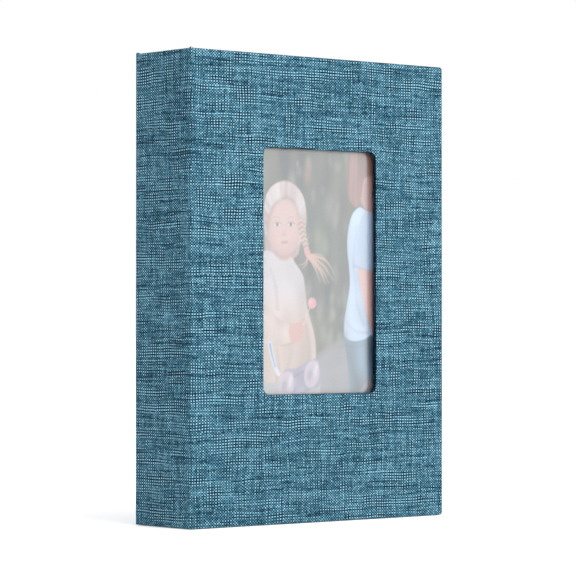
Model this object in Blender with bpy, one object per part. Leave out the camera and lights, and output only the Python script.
"""Cloth-covered scrapbook album with a die-cut cover window and slip-in pocket leaves.

Frame: +Z up, the album stands upright and closed. The front cover faces -Y, the spine is at -X
and the open fore-edge at +X. The origin is the middle of the base, and lengths are in metres.
"""

import bmesh
import bpy
from mathutils import Vector

MM = 0.001

# The closed case
HEIGHT = 175.0 * MM
WIDTH = 125.5 * MM
DEPTH = 33.0 * MM

# The layers of a cover, from its outer face inwards
CLOTH = 0.35 * MM
GLUE = 0.1 * MM
BOARD = 1.2 * MM
PAPER = 0.2 * MM
TURN_IN = 15.0 * MM
BOARD_FACE = CLOTH + GLUE
TURN_IN_FACE = BOARD_FACE + BOARD + GLUE
WRAP = TURN_IN_FACE + CLOTH
LINING_FACE = WRAP + GLUE
LINED = LINING_FACE + PAPER

# The cloth hinges, which turn about the two outer corners of the spine
HINGE_RADIUS = 1.0 * MM
RUNNING_GAP = 0.3 * MM
SKIN_START = HINGE_RADIUS + RUNNING_GAP
COVER_WRAP_START = WRAP + RUNNING_GAP

# The window in the front cover, with the cloth drawn through it
WINDOW_WIDTH = 56.0 * MM
WINDOW_HEIGHT = 92.0 * MM
WINDOW_Z = 94.2 * MM
WINDOW_RADIUS = 3.0 * MM
WINDOW_TURN_IN = 8.0 * MM
CORNER_STEPS = 5

# The photo pocket behind the window, a raised panel of the front lining that is open at the top
PRINT_WIDTH = 102.0 * MM
PRINT_HEIGHT = 152.0 * MM
PRINT_THICKNESS = 0.25 * MM
FILM = 0.15 * MM
FILM_GAP = 0.3 * MM
POCKET_SIDE = 2.0 * MM
POCKET_GAP = 0.25 * MM
PRINT_BASE = WINDOW_Z - PRINT_HEIGHT / 2
FILM_FACE = LINING_FACE + FILM_GAP
PRINT_FACE = FILM_FACE + FILM + POCKET_GAP
POCKET_FACE = PRINT_FACE + PRINT_THICKNESS + POCKET_GAP
POCKETED = POCKET_FACE + PAPER
LINING_START = 6.0 * MM
LINING_MARGIN = 5.0 * MM
LINING_TOP = HEIGHT - 7.0 * MM

# The leaves: a card in a clear pocket, hinged by a thin tab to the binding strip
LEAVES = 20
LEAF_PITCH = 1.28 * MM
LEAF_THICKNESS = 0.9 * MM
LEAF_FILM = 0.12 * MM
LEAF_CARD = 0.26 * MM
TAB_LENGTH = 7.0 * MM
TAB_SLOPE = 1.0 * MM
TAB_THICKNESS = 0.15 * MM
LEAF_BASE = 4.0 * MM
LEAF_HEIGHT = HEIGHT - 2 * LEAF_BASE
FORE_EDGE_SQUARE = 3.0 * MM
POCKET_WELD = 0.8 * MM
CARD_SIDE = 1.4 * MM
BINDING = 0.8 * MM
BINDING_FACE = LINED + GLUE
PIVOT_X = BINDING_FACE + BINDING + RUNNING_GAP

SPINE_X = -WIDTH / 2
FORE_X = WIDTH / 2
FRONT_Y = -DEPTH / 2
BACK_Y = DEPTH / 2
BLOCK_Y = (POCKETED - LINED) / 2
LEAF_LENGTH = WIDTH - FORE_EDGE_SQUARE - PIVOT_X
OVERCUT = 1.0 * MM


def clear_scene():
    """Removes whatever objects the file holds."""
    for thing in list(bpy.data.objects):
        bpy.data.objects.remove(thing, do_unlink=True)


def new_collection(name):
    """A collection linked to the scene."""
    collection = bpy.data.collections.new(name)
    bpy.context.scene.collection.children.link(collection)
    return collection


def material(name, colour, roughness, alpha=1.0):
    """A plain Principled material."""
    made = bpy.data.materials.new(name)
    made.use_nodes = True
    shader = made.node_tree.nodes["Principled BSDF"]
    shader.inputs["Base Color"].default_value = (*colour, 1.0)
    shader.inputs["Roughness"].default_value = roughness
    shader.inputs["Metallic"].default_value = 0.0
    shader.inputs["Alpha"].default_value = alpha
    return made


def move_to(thing, collection):
    """Links an object into one collection only."""
    for other in list(thing.users_collection):
        other.objects.unlink(thing)
    collection.objects.link(thing)


class Album:
    """The album's collections, and the few ways in which its pieces are made."""

    def __init__(self):
        self.parts = new_collection("scrapbook_album")
        self.cutters = new_collection("cutters")

    def pivot(self, name, place, parent=None):
        """An empty on a joint's axis, which the moving pieces hang from."""
        empty = bpy.data.objects.new(name, None)
        empty.empty_display_size = 5 * MM
        self.parts.objects.link(empty)
        empty.location = Vector(place)
        if parent:
            empty.parent = parent
            empty.location -= parent.matrix_world.translation
        bpy.context.view_layer.update()
        return empty

    def finish(self, thing, name, finish, parent):
        """Names a piece, gives it its finish and hangs it from its pivot, where it stands."""
        thing.name = name
        thing.data.name = name
        thing.data.materials.clear()
        thing.data.materials.append(finish)
        move_to(thing, self.parts)
        if parent:
            thing.parent = parent
            thing.location -= parent.matrix_world.translation
        return thing

    def box(self, low, high):
        """A box between two corners."""
        low, high = Vector(low), Vector(high)
        bpy.ops.mesh.primitive_cube_add(size=1.0, location=(low + high) / 2)
        thing = bpy.context.object
        thing.scale = high - low
        bpy.ops.object.transform_apply(location=False, rotation=False, scale=True)
        return thing

    def rounded_column(self, width, height, radius, y_low, y_high):
        """A column along Y round the window's middle, with its long corners rounded."""
        thing = self.box(
            (-width / 2, y_low, WINDOW_Z - height / 2), (width / 2, y_high, WINDOW_Z + height / 2)
        )
        mesh = bmesh.new()
        mesh.from_mesh(thing.data)
        corners = [
            edge
            for edge in mesh.edges
            if abs(edge.verts[0].co.x - edge.verts[1].co.x) < radius / 2
            and abs(edge.verts[0].co.z - edge.verts[1].co.z) < radius / 2
        ]
        bmesh.ops.bevel(
            mesh, geom=corners, offset=radius, segments=CORNER_STEPS, profile=0.5, affect="EDGES"
        )
        mesh.to_mesh(thing.data)
        mesh.free()
        return thing

    def as_cutter(self, thing, name):
        """Puts a shape among the cutters, shown as wire and left out of a render."""
        thing.name = name
        thing.display_type = "WIRE"
        thing.hide_render = True
        move_to(thing, self.cutters)
        return thing

    def combine(self, thing, cutter, operation="DIFFERENCE"):
        """A Boolean of a piece with one cutter."""
        step = thing.modifiers.new(cutter.name, "BOOLEAN")
        step.operation = operation
        step.solver = "EXACT"
        step.object = cutter
        return thing

    def outline_prism(self, points, z_low, z_high):
        """A flat outline in X and Y, carried up from z_low to z_high."""
        curve = bpy.data.curves.new("outline", "CURVE")
        curve.dimensions = "2D"
        curve.fill_mode = "BOTH"
        curve.extrude = (z_high - z_low) / 2
        spline = curve.splines.new("POLY")
        spline.points.add(len(points) - 1)
        for point, (x, y) in zip(spline.points, points):
            point.co = (x, y, 0.0, 1.0)
        spline.use_cyclic_u = True
        flat = bpy.data.objects.new("outline", curve)
        self.parts.objects.link(flat)
        flat.location.z = (z_low + z_high) / 2
        bpy.context.view_layer.update()
        graph = bpy.context.evaluated_depsgraph_get()
        mesh = bpy.data.meshes.new_from_object(flat.evaluated_get(graph))
        edit = bmesh.new()
        edit.from_mesh(mesh)
        bmesh.ops.remove_doubles(edit, verts=edit.verts, dist=0.001 * MM)
        edit.to_mesh(mesh)
        edit.free()
        thing = bpy.data.objects.new("outline_solid", mesh)
        thing.matrix_world = flat.matrix_world
        self.parts.objects.link(thing)
        bpy.data.objects.remove(flat, do_unlink=True)
        return thing


def from_face(side, distance):
    """The Y of a layer at some distance inside a cover's outer face; side is -1 front, 1 back."""
    return side * (DEPTH / 2 - distance)


def span(side, near, far):
    """The low and high Y of a layer between two distances inside a cover's outer face."""
    return sorted((from_face(side, near), from_face(side, far)))


def cover_cloth(album, name, side, finish, pivot, window):
    """A cover's cloth: its outer skin, its three edges and its turn-ins, and round any window."""
    low, high = span(side, 0.0, WRAP)
    cloth = album.box((SPINE_X + COVER_WRAP_START, low, 0.0), (FORE_X, high, HEIGHT))

    room_low, room_high = span(side, CLOTH, TURN_IN_FACE)
    room = album.box(
        (SPINE_X + COVER_WRAP_START - OVERCUT, room_low, CLOTH),
        (FORE_X - CLOTH, room_high, HEIGHT - CLOTH),
    )
    album.as_cutter(room, name + "_board_room")
    back_low, back_high = span(side, TURN_IN_FACE - GLUE / 2, WRAP + OVERCUT)
    back = album.box(
        (SPINE_X + COVER_WRAP_START - OVERCUT, back_low, TURN_IN),
        (FORE_X - TURN_IN, back_high, HEIGHT - TURN_IN),
    )
    album.as_cutter(back, name + "_back_room")
    if window:
        reveal = album.rounded_column(
            WINDOW_WIDTH + 2 * CLOTH,
            WINDOW_HEIGHT + 2 * CLOTH,
            WINDOW_RADIUS + CLOTH,
            low - OVERCUT,
            high + OVERCUT,
        )
        album.combine(room, album.as_cutter(reveal, name + "_reveal"))
        ring = album.rounded_column(
            WINDOW_WIDTH + 2 * WINDOW_TURN_IN,
            WINDOW_HEIGHT + 2 * WINDOW_TURN_IN,
            WINDOW_RADIUS,
            low - OVERCUT,
            high + OVERCUT,
        )
        album.combine(back, album.as_cutter(ring, name + "_window_turn_in"))
    album.combine(cloth, room)
    album.combine(cloth, back)

    skin_low, skin_high = span(side, 0.0, CLOTH)
    skin = album.box(
        (SPINE_X + SKIN_START, skin_low, 0.0),
        (SPINE_X + COVER_WRAP_START + OVERCUT, skin_high, HEIGHT),
    )
    album.combine(cloth, album.as_cutter(skin, name + "_hinge_side"), "UNION")
    if window:
        opening = album.rounded_column(
            WINDOW_WIDTH, WINDOW_HEIGHT, WINDOW_RADIUS, low - OVERCUT, high + OVERCUT
        )
        album.combine(cloth, album.as_cutter(opening, name + "_window"))
    return album.finish(cloth, name, finish, pivot)


def cover_board(album, name, side, finish, pivot, window):
    """A cover's greyboard, which stops short of the spine board."""
    low, high = span(side, BOARD_FACE, BOARD_FACE + BOARD)
    board = album.box(
        (SPINE_X + COVER_WRAP_START, low, BOARD_FACE),
        (FORE_X - BOARD_FACE, high, HEIGHT - BOARD_FACE),
    )
    if window:
        hole = album.rounded_column(
            WINDOW_WIDTH + 2 * BOARD_FACE,
            WINDOW_HEIGHT + 2 * BOARD_FACE,
            WINDOW_RADIUS + BOARD_FACE,
            low - OVERCUT,
            high + OVERCUT,
        )
        album.combine(board, album.as_cutter(hole, name + "_window"))
    return album.finish(board, name, finish, pivot)


def front_lining(album, finish, pivot):
    """The front cover's lining paper, raised into a pocket that is open at the top."""
    low, high = span(-1, LINING_FACE, LINED)
    lining = album.box(
        (SPINE_X + LINING_START, low, LINING_MARGIN), (FORE_X - LINING_MARGIN, high, LINING_TOP)
    )
    half = PRINT_WIDTH / 2 + POCKET_SIDE
    floor = PRINT_BASE - RUNNING_GAP
    _, top = span(-1, LINING_FACE, POCKETED)
    raised = album.box((-half - PAPER, low, floor - PAPER), (half + PAPER, top, LINING_TOP))
    album.combine(lining, album.as_cutter(raised, "pocket_raised"), "UNION")
    _, roof = span(-1, LINING_FACE, POCKET_FACE)
    hollow = album.box((-half, low - OVERCUT, floor), (half, roof, LINING_TOP + OVERCUT))
    album.combine(lining, album.as_cutter(hollow, "pocket_hollow"))
    return album.finish(lining, "front_lining", finish, pivot)


def front_cover(album, finishes, pivot, photo_pivot):
    """The front cover, with its window, film, pocket and the photo in it."""
    cover_cloth(album, "front_cloth", -1, finishes["cloth"], pivot, window=True)
    cover_board(album, "front_board", -1, finishes["board"], pivot, window=True)
    front_lining(album, finishes["paper"], pivot)

    half = PRINT_WIDTH / 2 + POCKET_SIDE - RUNNING_GAP
    low, high = span(-1, FILM_FACE, FILM_FACE + FILM)
    film = album.box((-half, low, PRINT_BASE), (half, high, LINING_TOP - GLUE))
    album.finish(film, "window_film", finishes["film"], pivot)

    low, high = span(-1, PRINT_FACE, PRINT_FACE + PRINT_THICKNESS)
    photo = album.box(
        (-PRINT_WIDTH / 2, low, PRINT_BASE), (PRINT_WIDTH / 2, high, PRINT_BASE + PRINT_HEIGHT)
    )
    album.finish(photo, "cover_photo", finishes["photo"], photo_pivot)


def back_cover(album, finishes, pivot):
    """The back cover: cloth, board and lining paper."""
    cover_cloth(album, "back_cloth", 1, finishes["cloth"], pivot, window=False)
    cover_board(album, "back_board", 1, finishes["board"], pivot, window=False)
    low, high = span(1, LINING_FACE, LINED)
    lining = album.box(
        (SPINE_X + LINING_START, low, LINING_MARGIN),
        (FORE_X - LINING_MARGIN, high, HEIGHT - LINING_MARGIN),
    )
    album.finish(lining, "back_lining", finishes["paper"], pivot)


def spine(album, finishes):
    """The fixed spine: its board, cloth and lining, and the strip that the leaves are bound to."""
    side = DEPTH / 2 - SKIN_START
    cloth = album.box((SPINE_X, -side, 0.0), (SPINE_X + WRAP, side, HEIGHT))
    room = album.box(
        (SPINE_X + CLOTH, -side - OVERCUT, CLOTH),
        (SPINE_X + TURN_IN_FACE, side + OVERCUT, HEIGHT - CLOTH),
    )
    back = album.box(
        (SPINE_X + TURN_IN_FACE - GLUE / 2, -side - OVERCUT, TURN_IN),
        (SPINE_X + WRAP + OVERCUT, side + OVERCUT, HEIGHT - TURN_IN),
    )
    album.combine(cloth, album.as_cutter(room, "spine_board_room"))
    album.combine(cloth, album.as_cutter(back, "spine_back_room"))
    album.finish(cloth, "spine_cloth", finishes["cloth"], None)

    board = album.box(
        (SPINE_X + BOARD_FACE, -side, BOARD_FACE),
        (SPINE_X + BOARD_FACE + BOARD, side, HEIGHT - BOARD_FACE),
    )
    album.finish(board, "spine_board", finishes["board"], None)

    inner = DEPTH / 2 - LINING_START
    lining = album.box(
        (SPINE_X + LINING_FACE, -inner, LINING_MARGIN),
        (SPINE_X + LINED, inner, HEIGHT - LINING_MARGIN),
    )
    album.finish(lining, "spine_lining", finishes["paper"], None)

    half = (LEAVES * LEAF_PITCH - RUNNING_GAP) / 2
    strip = album.box(
        (SPINE_X + BINDING_FACE, BLOCK_Y - half, LEAF_BASE),
        (SPINE_X + BINDING_FACE + BINDING, BLOCK_Y + half, LEAF_BASE + LEAF_HEIGHT),
    )
    album.finish(strip, "leaf_binding", finishes["binding"], None)

    for name, corner in (("front_hinge_cloth", FRONT_Y), ("back_hinge_cloth", BACK_Y)):
        hinge_cloth(album, name, corner, finishes["cloth"])


def hinge_cloth(album, name, corner_y, finish):
    """The cloth folded round a corner of the spine: a quarter round about the joint's axis."""
    bpy.ops.mesh.primitive_cylinder_add(
        vertices=32, radius=HINGE_RADIUS, depth=HEIGHT, location=(SPINE_X, corner_y, HEIGHT / 2)
    )
    bead = bpy.context.object
    inner_y = corner_y - (1 if corner_y > 0 else -1) * (HINGE_RADIUS + OVERCUT)
    low_y, high_y = sorted((corner_y, inner_y))
    quarter = album.box(
        (SPINE_X, low_y, -OVERCUT), (SPINE_X + HINGE_RADIUS + OVERCUT, high_y, HEIGHT + OVERCUT)
    )
    album.combine(bead, album.as_cutter(quarter, name + "_quarter"), "INTERSECT")
    album.finish(bead, name, finish, None)


def leaf_sleeve_mesh(album):
    """The mesh of one clear leaf pocket, with its tab's root at the origin and its mouth on top."""
    tab, half = TAB_THICKNESS / 2, LEAF_THICKNESS / 2
    lower = [(0.0, -tab), (TAB_LENGTH, -tab), (TAB_LENGTH + TAB_SLOPE, -half), (LEAF_LENGTH, -half)]
    outline = lower + [(x, -y) for x, y in reversed(lower)]
    sleeve = album.outline_prism(outline, LEAF_BASE, LEAF_BASE + LEAF_HEIGHT)
    inside = half - LEAF_FILM
    pocket = album.box(
        (TAB_LENGTH + TAB_SLOPE + POCKET_WELD, -inside, LEAF_BASE + POCKET_WELD),
        (LEAF_LENGTH - POCKET_WELD, inside, LEAF_BASE + LEAF_HEIGHT + OVERCUT),
    )
    album.combine(sleeve, pocket)
    bpy.context.view_layer.update()
    graph = bpy.context.evaluated_depsgraph_get()
    mesh = bpy.data.meshes.new_from_object(sleeve.evaluated_get(graph))
    mesh.transform(sleeve.matrix_world)
    for helper in (sleeve, pocket):
        bpy.data.objects.remove(helper, do_unlink=True)
    return mesh


def leaves(album, finishes):
    """The leaves, each a card in its own clear pocket on its own pivot."""
    sleeve_mesh = leaf_sleeve_mesh(album)
    for number in range(1, LEAVES + 1):
        y = BLOCK_Y + (number - (LEAVES + 1) / 2) * LEAF_PITCH
        pivot = album.pivot(f"leaf_{number:02d}_pivot", (SPINE_X + PIVOT_X, y, 0.0))
        sleeve = bpy.data.objects.new(f"leaf_sleeve_{number:02d}", sleeve_mesh)
        album.parts.objects.link(sleeve)
        sleeve.parent = pivot
        if not sleeve_mesh.materials:
            sleeve_mesh.materials.append(finishes["sleeve"])
        inset = POCKET_WELD + RUNNING_GAP
        card = album.box(
            (
                SPINE_X + PIVOT_X + TAB_LENGTH + TAB_SLOPE + CARD_SIDE,
                y - LEAF_CARD / 2,
                LEAF_BASE + inset,
            ),
            (
                SPINE_X + PIVOT_X + LEAF_LENGTH - CARD_SIDE,
                y + LEAF_CARD / 2,
                LEAF_BASE + LEAF_HEIGHT - RUNNING_GAP,
            ),
        )
        album.finish(card, f"leaf_card_{number:02d}", finishes["card"], pivot)


def main():
    """Builds the album."""
    clear_scene()
    album = Album()
    finishes = {
        "cloth": material("blue_book_cloth", (0.10, 0.23, 0.34), 0.85),
        "board": material("greyboard", (0.32, 0.30, 0.27), 0.9),
        "paper": material("lining_paper", (0.80, 0.78, 0.72), 0.85),
        "film": material("window_film", (0.90, 0.92, 0.93), 0.1, alpha=0.3),
        "photo": material("photo_print", (0.55, 0.60, 0.58), 0.35),
        "binding": material("binding_strip", (0.85, 0.84, 0.80), 0.8),
        "sleeve": material("clear_sleeve", (0.90, 0.92, 0.93), 0.15, alpha=0.3),
        "card": material("leaf_card", (0.85, 0.84, 0.80), 0.8),
    }
    front_pivot = album.pivot("front_cover_pivot", (SPINE_X, FRONT_Y, 0.0))
    back_pivot = album.pivot("back_cover_pivot", (SPINE_X, BACK_Y, 0.0))
    photo_pivot = album.pivot("cover_photo_pivot", (0.0, FRONT_Y, PRINT_BASE), front_pivot)
    spine(album, finishes)
    front_cover(album, finishes, front_pivot, photo_pivot)
    back_cover(album, finishes, back_pivot)
    leaves(album, finishes)


main()
